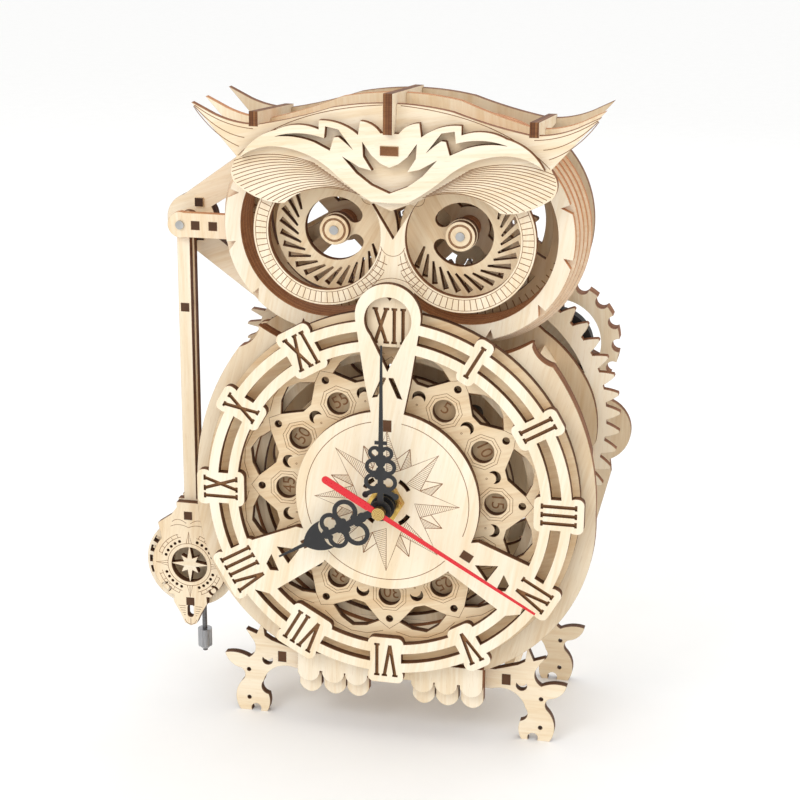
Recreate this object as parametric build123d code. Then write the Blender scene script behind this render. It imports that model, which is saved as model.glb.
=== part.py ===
from build123d import *
import os
from math import atan2, cos, degrees, hypot, pi, radians, sin, sqrt, tan

# Owl-shaped mechanical clock model cut from plywood sheet.
# Millimetres. X to the right of the dial, Y towards the back, Z up.
# Z = 0 is the surface the feet stand on, X = 0 the owl's middle plane,
# and Y = 0 the front face of the dial plate.

# ---- driving dimensions ----
ply = 3.0                 # sheet thickness
dial_height = 90.0        # dial centre above the desk
joint_gap = 0.05          # slot wall to tenon, each side
shaft_gap = 0.05          # running clearance, radial
layer_gap = 1.0           # between plates that move past each other

numeral_radius = 59.0     # centre of the numeral plates
numeral_length = 17.0     # numeral plate, measured along the radius
numeral_margin = 3.5      # plate width beyond the strokes, both sides together
stroke = 1.15             # width of an engraved numeral stroke
engraving = 1.2           # depth of the numerals
stroke_height = 11.5
ring_width = 3.5          # each of the two dial rings
outer_ring_radius = 63.5
inner_ring_radius = 56.5
centre_disc_radius = 32.0
lattice_radius = 65.5
lattice_bore = 24.0
number_hole_radius = 4.0
number_hole_circle = 36.7
number_disc_radius = 42.5

bushing_radius = 4.0      # threaded bushing of the clock movement
nut_across_flats = 11.0
nut_height = 3.0
movement_size = 56.0
movement_depth = 16.0
hour_tube_radius = 2.5
minute_tube_radius = 1.7
second_pin_radius = 0.8
hand_thickness = 0.5
knob_share = 0.72         # radius of a scroll's end knob over the width of its band
blade_tip = 0.3           # half the width of a hand's tip
hour_hand_length = 42.0
minute_hand_length = 57.5
second_hand_length = 62.0
hour_hand_turn = 240.0    # degrees clockwise from twelve
second_hand_turn = 120.0

eye_height = 90.3         # eye axles above the dial centre
gear_tooth_pair = 20      # teeth of the two gears that link the eyes
eye_module = 2.15
goggle_hole_radius = 30.0
goggle_front_radius = 35.5
goggle_growth = 0.95      # each goggle plate is this much larger than the one in front
iris_radius = 21.0
lens_ring_bore = 19.3
lens_ring_radius = 24.4
eye_axle_radius = 1.5

train_module = 2.1
drive_teeth = 50
eye_pinion_teeth = 15
hub_teeth = 25
small_pinion_teeth = 12
pressure_angle = 25.0
tooth_backlash = 0.35     # play between flanks, along the pitch circle
drive_rim = 7.5           # from the drive gear's pitch circle in to its windows
hub_rim = 6.25            # the same on the gear at its hub
drive_axle_radius = 2.0
train_axle_radius = 1.5
escape_radius = 20.5
escape_points = 24
winding_radius = 22.0
winding_notches = 16
winding_bore = 15.5       # between the winding wheel's spokes
barrel_radius = 13.0
boss_radius = 7.0         # glued ring that doubles the winding axle's bearing
boss_depth = 3.0
axle_play = 0.3           # end float of the axles
knob_x = -14.0            # time-setting knob, beside the dial's centre
knob_stem_radius = 1.5
knob_radius = 6.0
collar_radius = 4.0       # wooden collars on the thin axles

pendulum_x = -77.8
pendulum_pivot_height = 88.0   # above the dial centre
pendulum_pin_radius = 1.5
rod_width = 4.5
bob_drop = 126.0          # pivot to bob centre
bob_radius = 17.0
medallion_radius = 14.0
emblem_bore = 6.8
bob_bore = 9.0            # through the front pendulum plate
weight_offset = 3.0       # rating weight beside the rod's middle line
weight_pin_radius = 0.9
weight_pin_length = 21.0
weight_radius = 2.6
weight_length = 8.0
weight_chamfer = 1.2
weight_drop = 12.2        # from the top of its pin to the top of the weight

rib_height = 11.0
tenon_height = 6.5
foot_rail_x = 41.0
post_radius = 2.2

# ---- depths of the front faces ----
dial_y = 0.0
spacer_y = dial_y + ply
lattice_y = spacer_y + ply
body_front_y = lattice_y + ply
body_back_y = body_front_y + ply
brow_y = 1.0
face_y = brow_y + ply
lens_y = face_y + ply
goggle_y = lens_y + 2 * ply
ear_y = goggle_y + 2 * ply
goggle_back_y = goggle_y + 5 * ply
iris_y = goggle_y + ply
eye_gear_y = goggle_back_y + 2 * layer_gap
bearing_y = eye_gear_y + ply + layer_gap
drive_y = bearing_y + ply + layer_gap
escape_y = drive_y + ply + layer_gap
head_rear_y = escape_y + ply
winding_y = head_rear_y + ply + 2 * layer_gap
winding_thickness = 2 * ply
body_rear_y = winding_y + winding_thickness + 4 * layer_gap
foot_rear_y = body_rear_y + ply
pendulum_y = ear_y + ply
pendulum_gap = 2.0
pendulum_back_y = pendulum_y + ply + pendulum_gap
bracket_y = bearing_y - ply
medallion_y = pendulum_y - ply
movement_y = body_back_y

# ---- centres in the dial plane ----
eye_x = gear_tooth_pair * eye_module / 2
goggle_x = 24.2
goggle_z = 90.5
drive_x = 20.0
eye_reach = (drive_teeth + eye_pinion_teeth) * train_module / 2
drive_z = eye_height - sqrt(eye_reach ** 2 - (eye_x - drive_x) ** 2)
escape_reach = (drive_teeth + small_pinion_teeth) * train_module / 2
escape_angle = 159.1
escape_x = drive_x + escape_reach * cos(radians(escape_angle))
escape_z = drive_z + escape_reach * sin(radians(escape_angle))
winding_reach = (hub_teeth + small_pinion_teeth) * train_module / 2
winding_angle = 39.0
winding_x = drive_x + winding_reach * cos(radians(winding_angle))
winding_z = drive_z + winding_reach * sin(radians(winding_angle))


# ---- places that several plates share: x, z and, where there is one, the turn in degrees ----
numerals = ["I", "II", "III", "IV", "V", "VI", "VII", "VIII", "IX", "X", "XI"]
drive_phase = 90.0        # angle of one tooth of the drive gear
dial_pegs = [(0, 27.0, 0), (28.0, -17.5, 60), (-28.0, -17.5, -60)]
front_ribs = [(50.0, -27.0, -28.4)]
shoulder_pegs = [(48.9, 45.6, 35.0)]
long_ribs = [(-61.5, 12.0, 0.0), (-36.0, -52.0, 32.0), (36.0, -52.0, -32.0), (0.0, -56.5, 90.0)]
bearing_windows = [(0, -6, 20), (-38, 2, 12), (34, -14, 12), (-16, -42, 8), (16, -42, 8), (-12, 44, 11)]
backing_bottom = -48.0    # the backing plate ends here, and the front feet begin
feather_tips = [12.0, 20.5, 29.5]
slot_inner = 0.35         # half widths of an eye disc's slot at its two ends
slot_outer = 1.0
peg_height = 119.7        # peg through the brow
halving_height = 131.0    # crown slats: where they halve into the head plates
crown_top = 134.5
ear_crown_top = 136.2
ridge_tops = (138.5, 135.2)    # at the front end and at the rear end
side_slat_tops = (130.3, 127.0)
slat_x = 46.4
slat_bottom = 124.2
slat_halving = 125.4
arm_slat_x = [-72.3, -66.0]
bracket_bar_places = [(-74.5, 94.0), (-74.5, 82.0)]
pendulum_pegs = [30.0, bob_drop - 19.0, bob_drop + 14.5]


# ---- helpers ----
def outline(start, *moves):
    """Closed face. A move is a point (straight) or a pair of points (arc through one to the other)."""
    edges = []
    here = start
    for move in moves:
        if isinstance(move[0], tuple):
            through, there = move
            edges.append(ThreePointArc(here, through, there))
        else:
            there = move
            edges.append(Line(here, there))
        here = there
    if hypot(here[0] - start[0], here[1] - start[1]) > 1e-6:
        edges.append(Line(here, start))
    return make_face(edges)


def polygon(*points):
    return outline(points[0], *points[1:])


def both_sides(shape):
    """The shape and its mirror image across the owl's middle plane."""
    return shape + mirror(shape, Plane.YZ)


def disc(x, z, radius):
    return Pos(x, z) * Circle(radius)


def ring(x, z, outer, inner):
    return Pos(x, z) * (Circle(outer) - Circle(inner))


def bar(x, z, width, height, turn=0.0):
    return Pos(x, z) * Rot(0, 0, turn) * Rectangle(width, height)


def clock_pos(radius, hour):
    """A place on the dial: hours run clockwise from twelve."""
    turn = radians(90 - 30 * hour)
    return radius * cos(turn), radius * sin(turn)


def polar(radius, angle):
    return radius * cos(radians(angle)), radius * sin(radians(angle))


def plate(shape, front, thickness=ply):
    """Cuts a flat piece: the shape is drawn about the dial centre, seen from the front."""
    sheet = Plane.XZ.offset(-(front + thickness))
    solid = extrude(sheet * shape, amount=thickness)
    return Pos(0, 0, dial_height) * solid


def pin(x, z, radius, front, back):
    return plate(disc(x, z, radius), front, back - front)


def group(pieces):
    return Compound(children=[piece for whole in pieces for piece in whole.solids()])


def save(name, shape):
    export_step(shape, f"parts/{name}.step")


# ---- gears ----
def gear_shape(teeth, module, phase):
    """Spur gear outline with involute flanks. phase is the angle of one tooth's centre."""
    pitch = teeth * module / 2
    base = pitch * cos(radians(pressure_angle))
    tip = pitch + module
    root = pitch - 1.25 * module
    start = max(base, root + 0.05 * module)
    at_pitch = tan(radians(pressure_angle)) - radians(pressure_angle)
    half_tooth = pi / (2 * teeth) - tooth_backlash / (2 * pitch)

    def flank_angle(radius):
        roll = sqrt(max((radius / base) ** 2 - 1, 0))
        return half_tooth + at_pitch - (roll - atan2(roll, 1))

    radii = [start + (tip - start) * step / 3 for step in range(4)]
    points = []
    for tooth in range(teeth):
        middle = radians(phase) + 2 * pi * tooth / teeth
        side = [(root, flank_angle(start))] + [(radius, flank_angle(radius)) for radius in radii]
        points += [(r * cos(middle - a), r * sin(middle - a)) for r, a in side]
        points += [(r * cos(middle + a), r * sin(middle + a)) for r, a in reversed(side)]
    return polygon(*points)


def mesh_phase(phase, teeth, other_teeth, direction):
    """Tooth angle of the second gear, so that its gaps face the first gear's teeth."""
    return direction + 180 - (phase - direction) * teeth / other_teeth + 180 / other_teeth


# ---- dial ----
def numeral_strokes(text):
    """Roman numeral's strokes and its width: its top points away from the dial centre."""
    widths = {"I": 3.0, "V": 6.2, "X": 6.2}
    total = sum(widths[letter] for letter in text)
    half = stroke_height / 2
    slots = Sketch()
    x = -total / 2
    for letter in text:
        middle = x + widths[letter] / 2
        reach = widths[letter] / 2 - 1.2
        lean = degrees(atan2(2 * reach, 2 * half))
        if letter == "I":
            slots += bar(middle, 0, stroke, 2 * half)
            serifs = [(middle, half), (middle, -half)]
        elif letter == "X":
            slots += bar(middle, 0, stroke, 2 * half, lean)
            slots += bar(middle, 0, stroke, 2 * half, -lean)
            serifs = [(middle + side * reach, end * half) for side in (-1, 1) for end in (-1, 1)]
        else:
            lean = degrees(atan2(reach, 2 * half))
            slots += bar(middle - reach / 2, 0, stroke, 2 * half, lean)
            slots += bar(middle + reach / 2, 0, stroke, 2 * half, -lean)
            serifs = [(middle - reach, half), (middle + reach, half)]
        for place in serifs:
            slots += bar(place[0], place[1], 1.9, 0.8)
        x += widths[letter]
    return slots, total


def numeral_tile(total):
    width = total + numeral_margin
    end_block = RectangleRounded(width, 5.2, 2.2)
    tile = Rectangle(width - 1.6, numeral_length - 3)
    for side in (-1, 1):
        tile += Pos(0, side * (numeral_length - 5.2) / 2) * end_block
    return tile


def numeral_place(hour):
    x, z = clock_pos(numeral_radius, hour)
    return Pos(x, z) * Rot(0, 0, -30 * hour)


def numeral_cuts():
    """The engraved strokes of the dial's eleven lower numerals."""
    cuts = Sketch()
    for index, text in enumerate(numerals):
        cuts += numeral_place(index + 1) * numeral_strokes(text)[0]
    return cuts


def dial_front_shape():
    outer = ring(0, 0, outer_ring_radius, outer_ring_radius - ring_width)
    inner = ring(0, 0, inner_ring_radius, inner_ring_radius - ring_width)
    shape = outer + inner + disc(0, 0, centre_disc_radius)
    drop = disc(0, 64.8, 11.2)
    drop += both_sides(polygon((0, 30), (5.4, 30), (7.8, 42), (10.9, 62), (0, 62)))
    arm = polygon((20, -14), (32, -12), (52, -20), (47, -37), (42, -38), (22, -24))
    shape += drop + both_sides(arm)
    shape -= disc(0, 63.5, 8.0) + polygon((0, 46), (7.9, 62), (-7.9, 62))
    shape -= both_sides(polygon((0, 44.5), (3.4, 37), (5.2, 36.6), (1.2, 46)) & bar(3, 40, 5, 7.8))
    shape -= both_sides(polygon((31, -20.4), (39, -20), (35, -26)))
    shape -= both_sides(polygon((38.4, -29), (41, -23), (44, -29)))
    for index, text in enumerate(numerals):
        total = numeral_strokes(text)[1]
        shape += numeral_place(index + 1) * numeral_tile(total)
    shape -= disc(0, 0, bushing_radius + joint_gap)
    for quarter in range(4):
        arc_slot = ring(0, 0, 9.6, 8.1) & polygon((0, 0), polar(14, 60), polar(14, 30))
        shape -= Rot(0, 0, 90 * quarter) * arc_slot
    for x, z, turn in dial_pegs:
        shape -= bar(x, z, ply + 2 * joint_gap, 4 + 2 * joint_gap, turn)
    return shape


def twelve_shape():
    top = outline((-7.6, 66.5), ((-4.5, 71.5), (0, 69.5)), ((4.5, 71.5), (7.6, 66.5)), (7.6, 66), (-7.6, 66))
    return bar(0, 60.5, 15.2, 13.5) + top


def lattice_shape():
    shape = Circle(lattice_radius) - Circle(lattice_bore)
    window_points = [(41.5, -2.6), (47.0, -10.7), (49.8, -5.6), (51.4, 0)]
    window_points += [(radius, -angle) for radius, angle in reversed(window_points[:-1])]
    window = polygon(*[polar(radius, 90 + angle) for radius, angle in window_points])
    crescent = disc(0, 37.2, 2.3) - disc(0.2, 35.7, 2.1)
    cuts = Sketch()
    for hour in range(12):
        turned = Rot(0, 0, -30 * hour)
        cuts += turned * disc(0, number_hole_circle, number_hole_radius)
        cuts += turned * disc(0, 45.8, 1.3)
        cuts += Rot(0, 0, -30 * hour - 15) * (window + crescent)
    shape -= cuts
    for x, z, turn in dial_pegs:
        shape -= bar(x, z, ply + 2 * joint_gap, 4 + 2 * joint_gap, turn)
    return shape


def number_disc_shape():
    shape = Circle(number_disc_radius) - Circle(bushing_radius + joint_gap)
    for x, z, turn in dial_pegs:
        shape -= bar(x, z, ply + 2 * joint_gap, 4 + 2 * joint_gap, turn)
    return shape


def dial_washers():
    return [pin(*clock_pos(numeral_radius, hour), 2.6, spacer_y, lattice_y) for hour in range(1, 12)]


def make_dial():
    engraved = plate(numeral_cuts(), dial_y, engraving)
    save("dial_front", plate(dial_front_shape(), dial_y) - engraved)
    engraved = plate(Pos(0, 61) * numeral_strokes("XII")[0], spacer_y, engraving)
    save("dial_twelve", plate(twelve_shape(), spacer_y) - engraved)
    save("dial_lattice", plate(lattice_shape(), lattice_y))
    save("number_disc", plate(number_disc_shape(), body_front_y))
    pegs = []
    for x, z, turn in dial_pegs:
        shoulder = plate(bar(x, z, ply, 6.5, turn), spacer_y)
        pegs.append(plate(bar(x, z, ply, 4, turn), dial_y, movement_y - dial_y) + shoulder)
    pegs.append(plate(bar(0, peg_height, 6, ply), brow_y - 0.5, goggle_y - brow_y + 0.5))
    save("front_pegs", group(pegs))


# ---- clock movement and hands ----
nut_front = dial_y - nut_height
bushing_front = nut_front - 0.6
hour_hand_y = bushing_front - 2.9
minute_hand_y = hour_hand_y - 3.0
second_hand_y = minute_hand_y - 3.0


def curl(x, z, radius, start, end, width):
    """Open scroll: part of a ring, with a round knob at each end."""
    reach = 3 * radius
    middle = (start + end) / 2 + 180
    half_gap = 180 - (end - start) / 2
    gap = polygon(
        (0, 0), polar(reach, middle - half_gap), polar(2 * reach, middle - half_gap / 3),
        polar(2 * reach, middle + half_gap / 3), polar(reach, middle + half_gap))
    band = ring(0, 0, radius + width / 2, radius - width / 2) - gap
    for angle in (start, end):
        band += disc(*polar(radius, angle), knob_share * width)
    return Pos(x, z) * band


def blade_shape(base, waist, length):
    """Tapered blade: half widths at the hub, at the waist and at the tip."""
    waist_z, waist_half = waist
    return polygon(
        (-base, 3), (base, 3), (waist_half, waist_z), (blade_tip, length), (-blade_tip, length),
        (-waist_half, waist_z))


def hour_hand_shape():
    shape = blade_shape(1.3, (24, 0.9), hour_hand_length) + Circle(4.2) + disc(0, 8.2, 1.7)
    shape += both_sides(curl(4.3, 12.6, 3.6, -150, 140, 1.5))
    shape += both_sides(curl(3.0, 19.4, 2.9, -145, 120, 1.4))
    shape += disc(0, 16.2, 1.8) + disc(0, 22.6, 1.6)
    barb = outline((0, 23.5), ((3.2, 24.0), (5.2, 22.2)), ((4.6, 26.4), (0.6, 31.5)))
    return shape + both_sides(barb)


def minute_hand_shape():
    shape = blade_shape(1.1, (26, 0.75), minute_hand_length) + Circle(3.6)
    shape += curl(0, -1.2, 8.4, 52, 128, 1.5)
    shape += both_sides(curl(2.7, 10.2, 2.3, -140, 130, 1.3))
    shape += both_sides(curl(2.5, 15.6, 2.2, -150, 150, 1.3))
    shape += both_sides(curl(1.9, 20.4, 1.8, -120, 130, 1.2))
    return shape + disc(0, 12.9, 1.4) + disc(0, 18.2, 1.3) + bar(0, 24.0, 4.2, 1.2)


def second_hand_shape():
    tip = second_hand_length
    blade = polygon((-1.1, -6), (1.1, -6), (0.8, 4), (0.35, tip), (-0.35, tip), (-0.8, 4))
    tail = bar(0, -12.5, 2.6, 17) + disc(0, -21, 1.3)
    return blade + tail + Circle(2.2)


def make_movement():
    case = RectangleRounded(movement_size, movement_size, 3)
    body = plate(case, movement_y, movement_depth)
    bushing = pin(0, 0, bushing_radius, bushing_front, movement_y)
    bore = pin(0, 0, hour_tube_radius + shaft_gap, bushing_front, movement_y + 4)
    knob_hole = pin(knob_x, 0, knob_stem_radius + shaft_gap, movement_y + 8, movement_y + movement_depth)
    save("movement_case", body + bushing - bore - knob_hole)
    nut = RegularPolygon(nut_across_flats / 2, 6, major_radius=False) - Circle(bushing_radius)
    save("movement_nut", plate(nut, nut_front, nut_height))

    rear = movement_y + 1
    hour_tube = pin(0, 0, hour_tube_radius, hour_hand_y - 0.3, rear)
    hour_tube -= pin(0, 0, minute_tube_radius + shaft_gap, hour_hand_y - 0.3, rear)
    save("hour_tube", hour_tube)
    hour_hand = hour_hand_shape() - Circle(hour_tube_radius)
    save("hour_hand", plate(Rot(0, 0, -hour_hand_turn) * hour_hand, hour_hand_y, hand_thickness))

    minute_tube = pin(0, 0, minute_tube_radius, minute_hand_y - 0.3, rear + 1)
    minute_tube -= pin(0, 0, second_pin_radius + shaft_gap, minute_hand_y - 0.3, rear + 1)
    save("minute_tube", minute_tube)
    minute_hand = minute_hand_shape() - Circle(minute_tube_radius)
    save("minute_hand", plate(minute_hand, minute_hand_y, hand_thickness))

    hub = pin(0, 0, 2.2, second_hand_y - 0.5, second_hand_y + 1.6)
    blade = plate(Rot(0, 0, -second_hand_turn) * second_hand_shape(), second_hand_y, hand_thickness)
    spindle = pin(0, 0, second_pin_radius, second_hand_y, rear + 2)
    save("second_hand", blade + hub + spindle)

    stem = pin(knob_x, 0, knob_stem_radius, movement_y + 9, movement_y + movement_depth + 1)
    grip = Pos(knob_x, 0) * Circle(knob_radius)
    for tooth in range(18):
        x, z = polar(knob_radius + 0.2, 20 * tooth)
        grip -= disc(knob_x + x, z, 0.5)
    knob = plate(grip, movement_y + movement_depth + 1, 4)
    save("time_knob", stem + knob)


# ---- gear train ----
def spokes(outer, inner, hub, width, count, turn=0.0):
    """What is cut from a wheel to leave count spokes between its hub and its rim."""
    window = Circle(inner) - Circle(hub)
    for index in range(count):
        angle = turn + 360 * index / count
        x, z = polar((outer + hub) / 2, angle)
        window -= bar(x, z, outer, width, angle)
    return window


def make_drive():
    wheel = gear_shape(drive_teeth, train_module, drive_phase)
    wheel -= spokes(50, drive_teeth * train_module / 2 - drive_rim, 11, 7, 5, 90)
    wheel -= Circle(drive_axle_radius)
    save("drive_gear", plate(Pos(drive_x, drive_z) * wheel, drive_y))
    hub_gear = gear_shape(hub_teeth, train_module, drive_phase) - Circle(drive_axle_radius)
    hub_gear -= spokes(24, hub_teeth * train_module / 2 - hub_rim, 8, 5, 4, 45)
    save("drive_hub_gear", plate(Pos(drive_x, drive_z) * hub_gear, escape_y))
    collar = ring(drive_x, drive_z, 6, drive_axle_radius)
    spacer = plate(collar, drive_y + ply, escape_y - drive_y - ply)
    sleeve_start = escape_y + ply
    sleeve = plate(collar, sleeve_start, body_rear_y - axle_play - sleeve_start)
    axle = pin(drive_x, drive_z, drive_axle_radius, bearing_y - 2, body_rear_y + ply + 1.5)
    save("drive_axle", group([axle, spacer, sleeve]))


def iris_shape(side):
    """Eye disc: a hooked opening round the hub and slanted slots near its rim."""
    shape = Circle(iris_radius)
    hook = Circle(10.8) - Circle(5.4)
    hook -= polygon((0, 0), polar(20, 140), polar(20, 180), polar(20, 215))
    hook += disc(*polar(8.1, 143), 2.6) + disc(*polar(8.1, 212), 2.6)
    shape -= hook
    slots = Sketch()
    for index in range(16):
        angle = -150 + 12.4 * index
        inner_x, inner_z = polar(13.4, angle - 10)
        outer_x, outer_z = polar(19.4, angle + 8)
        reach = hypot(outer_x - inner_x, outer_z - inner_z)
        lean = degrees(atan2(outer_z - inner_z, outer_x - inner_x))
        middle_x = (inner_x + outer_x) / 2
        middle_z = (inner_z + outer_z) / 2
        half = reach / 2
        wedge = polygon((-half, -slot_inner), (half, -slot_outer), (half, slot_outer), (-half, slot_inner))
        slots += Pos(middle_x, middle_z) * Rot(0, 0, lean) * wedge
    shape -= slots
    if side < 0:
        shape = mirror(shape, Plane.YZ)
    return shape - Circle(eye_axle_radius)


def make_eye(name, side, gear_phase):
    x = side * eye_x
    place = Pos(x, eye_height)
    axle_front = iris_y - ply - 0.6
    axle_back = head_rear_y + ply + 1.0
    cap = plate(place * (Circle(5.0) - Circle(eye_axle_radius)), iris_y - ply)
    save(f"{name}_iris", group([plate(place * iris_shape(side), iris_y), cap]))
    wheel = gear_shape(gear_tooth_pair, eye_module, gear_phase) - Circle(eye_axle_radius)
    wheel -= spokes(18, 15.5, 7, 5, 4, 45)
    save(f"{name}_gear", plate(place * wheel, eye_gear_y))
    collar = ring(x, eye_height, collar_radius, eye_axle_radius)
    collars = [plate(collar, iris_y + ply, eye_gear_y - iris_y - ply)]
    collars.append(plate(collar, eye_gear_y + ply, layer_gap - axle_play))
    if side > 0:
        direction = degrees(atan2(eye_height - drive_z, x - drive_x))
        phase = mesh_phase(drive_phase, drive_teeth, eye_pinion_teeth, direction)
        pinion = gear_shape(eye_pinion_teeth, train_module, phase) - Circle(eye_axle_radius)
        save("eye_pinion", plate(place * pinion, drive_y))
        collars.append(plate(collar, bearing_y + ply + axle_play, drive_y - bearing_y - ply - axle_play))
        collars.append(plate(collar, drive_y + ply, head_rear_y - axle_play - drive_y - ply))
    else:
        start = bearing_y + ply + axle_play
        collars.append(plate(collar, start, head_rear_y - axle_play - start))
    axle = pin(x, eye_height, eye_axle_radius, axle_front, axle_back)
    save(f"{name}_axle", group([axle] + collars))


def make_escape():
    direction = degrees(atan2(escape_z - drive_z, escape_x - drive_x))
    phase = mesh_phase(drive_phase, drive_teeth, small_pinion_teeth, direction)
    pinion = gear_shape(small_pinion_teeth, train_module, phase) - Circle(train_axle_radius)
    save("escape_pinion", plate(Pos(escape_x, escape_z) * pinion, drive_y))
    points = []
    for tooth in range(escape_points):
        angle = 360 * tooth / escape_points
        points.append(polar(escape_radius - 4.6, angle))
        points.append(polar(escape_radius, angle + 5.5))
        points.append(polar(escape_radius, angle + 7.5))
        points.append(polar(escape_radius - 4.6, angle + 9))
    wheel = polygon(*points) - Circle(train_axle_radius)
    wheel -= spokes(16, 12.5, 5.5, 3.6, 5)
    save("escape_wheel", plate(Pos(escape_x, escape_z) * wheel, escape_y))
    front = bearing_y - 1.5
    back = body_rear_y + ply + 1.0
    collar = ring(escape_x, escape_z, collar_radius, train_axle_radius)
    start = escape_y + ply
    pieces = [pin(escape_x, escape_z, train_axle_radius, front, back)]
    pieces.append(plate(collar, drive_y + ply, escape_y - drive_y - ply))
    pieces.append(plate(collar, start, body_rear_y - axle_play - start))
    save("escape_axle", group(pieces))


def make_winding():
    phase = mesh_phase(drive_phase, hub_teeth, small_pinion_teeth, winding_angle)
    place = Pos(winding_x, winding_z)
    pinion = gear_shape(small_pinion_teeth, train_module, phase) - Circle(train_axle_radius)
    save("winding_pinion", plate(place * pinion, escape_y))
    drum = ring(winding_x, winding_z, barrel_radius, train_axle_radius)
    save("spring_barrel", plate(drum, escape_y + ply, winding_y - escape_y - ply))
    wheel = Circle(winding_radius) - Circle(train_axle_radius)
    for notch in range(winding_notches):
        wheel -= disc(*polar(winding_radius - 0.4, 360 * notch / winding_notches), 2.4)
    wheel -= spokes(18, winding_bore, 6, 4.5, 3, 94)
    save("winding_wheel", plate(place * wheel, winding_y, winding_thickness))
    front = escape_y - 0.6
    back = body_rear_y + ply + 1.0
    axle = pin(winding_x, winding_z, train_axle_radius, front, back)
    collar = ring(winding_x, winding_z, collar_radius, train_axle_radius)
    start = winding_y + winding_thickness
    depth = body_rear_y - boss_depth - axle_play - start
    save("winding_axle", group([axle, plate(collar, start, depth)]))


# ---- body plates ----
def slot_cut(places, height=tenon_height):
    """Slots for the tenons of the ribs."""
    cuts = Sketch()
    for x, z, turn in places:
        cuts += bar(x, z, ply + 2 * joint_gap, height + 2 * joint_gap, turn)
    return cuts


def goggle_clearance(gap):
    radius = goggle_front_radius + 5 * goggle_growth + gap
    return both_sides(disc(goggle_x, goggle_z, radius))


def body_outline():
    right = outline(
        (0, -63.7), (33, -63.7), ((61.0, -40.0), (70.4, -2)), ((66.4, 25), (54.2, 48.7)),
        ((49.4, 51.4), (47.1, 55.1)), (47.4, 58.3), (0, 62))
    return both_sides(right)


def body_front_shape():
    shape = body_outline() - Circle(50)
    shape -= goggle_clearance(0.6)
    return shape - slot_cut(front_ribs + long_ribs)


def body_back_shape():
    shape = body_outline() & bar(0, backing_bottom + 52, 136, 104)
    shape -= Circle(47)
    shape -= goggle_clearance(0.6)
    return shape - slot_cut(front_ribs + long_ribs) - slot_cut(shoulder_pegs, ply)


def pendulum_arms(reach):
    """Arms that carry the pendulum pin out from the head, to the left."""
    pivot = (pendulum_x, pendulum_pivot_height)
    upper = polygon(
        (pivot[0] - 3, pivot[1] + 8), (pivot[0] + 2, pivot[1] + 1), (-52, 104), (-54, 113), (-60, 111))
    lower = polygon(
        (pivot[0] - 3, pivot[1] - 8), (pivot[0] + 2, pivot[1] - 1), (-50, 68), (-48, 58), (-56, 62))
    return disc(*pivot, reach) + upper + lower


def bearing_shape():
    """Middle plate: carries the front ends of all the axles."""
    right = outline(
        (0, -60), (30, -60), ((50, -44), (58, -20)), (61, 4), (65.0, 13.0), (66.8, 15.4),
        ((66.6, 26.5), (61.3, 39.8)), ((55.5, 47.4), (47.7, 54.0)), (43, 58), (0, 66))
    shape = both_sides(right)
    shape += bar(-57, 12, 14, 22)
    shape += both_sides(disc(goggle_x, goggle_z, 37.0))
    shape += bar(0, 100, 44, 34)
    shape += pendulum_arms(8.7)
    for side in (-1, 1):
        shape -= Pos(side * eye_x, eye_height) * spokes(30, 28, 7, 7, 3, 90)
    for x, z, radius in bearing_windows:
        shape -= disc(x, z, radius)
    shape -= disc(knob_x, 0, knob_radius + layer_gap)
    shape -= disc(drive_x, drive_z, drive_axle_radius + shaft_gap)
    shape -= disc(escape_x, escape_z, train_axle_radius + shaft_gap)
    for side in (-1, 1):
        shape -= disc(side * eye_x, eye_height, eye_axle_radius + shaft_gap)
    shape -= disc(pendulum_x, pendulum_pivot_height, pendulum_pin_radius)
    shape -= square_slots(bracket_bar_places)
    return shape - slot_cut(front_ribs + long_ribs) - slot_cut(shoulder_pegs, ply)


def body_rear_shape():
    right = outline(
        (0, -63.7), (40, -63.7), ((55, -54), (61.5, -40)), (70.2, -4), ((62, 30), (46, 60)),
        ((30, 69), (12, 66)), (0, 66))
    shape = both_sides(right + disc(64.7, 12.0, 12.0))
    shape -= Pos(-12, -14) * RectangleRounded(44, 44, 6)
    shape -= both_sides(disc(50, -34, 7)) + disc(38, -18, 9) + disc(-10, 42, 14)
    shape -= disc(drive_x, drive_z, drive_axle_radius + shaft_gap)
    shape -= disc(escape_x, escape_z, train_axle_radius + shaft_gap)
    shape -= disc(winding_x, winding_z, train_axle_radius + shaft_gap)
    return shape - slot_cut(long_ribs)


def rib(x, z, turn, front, back, crossed, tenon=tenon_height):
    """Slat running back through the plates: a tenon inside them, and wider between them."""
    solid = plate(bar(x, z, ply, tenon, turn), front, back - front)
    web = tenon + rib_height - tenon_height
    edges = sorted(crossed)
    for near, far in zip(edges[:-1], edges[1:]):
        start = near + ply
        if far - start > 0.5:
            solid += plate(bar(x, z, ply, web, turn), start, far - start)
    return solid


def make_body():
    save("body_front", plate(body_front_shape(), body_front_y))
    save("body_backing", plate(body_back_shape(), body_back_y))
    save("bearing_plate", plate(bearing_shape(), bearing_y))
    boss_ring = ring(winding_x, winding_z, boss_radius, train_axle_radius + shaft_gap)
    boss = plate(boss_ring, body_rear_y - boss_depth, boss_depth)
    save("body_rear", plate(body_rear_shape(), body_rear_y) + boss)
    near_pair = [body_back_y, bearing_y]
    short = [rib(*spot, body_front_y, bearing_y + ply, near_pair) for spot in front_ribs]
    short += [rib(*spot, body_back_y, bearing_y + ply, near_pair, ply) for spot in shoulder_pegs]
    crossed = [body_back_y, bearing_y, body_rear_y]
    slats = [rib(*spot, body_front_y, body_rear_y + ply, crossed) for spot in long_ribs]
    save("body_ribs", group(short + slats))


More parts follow.
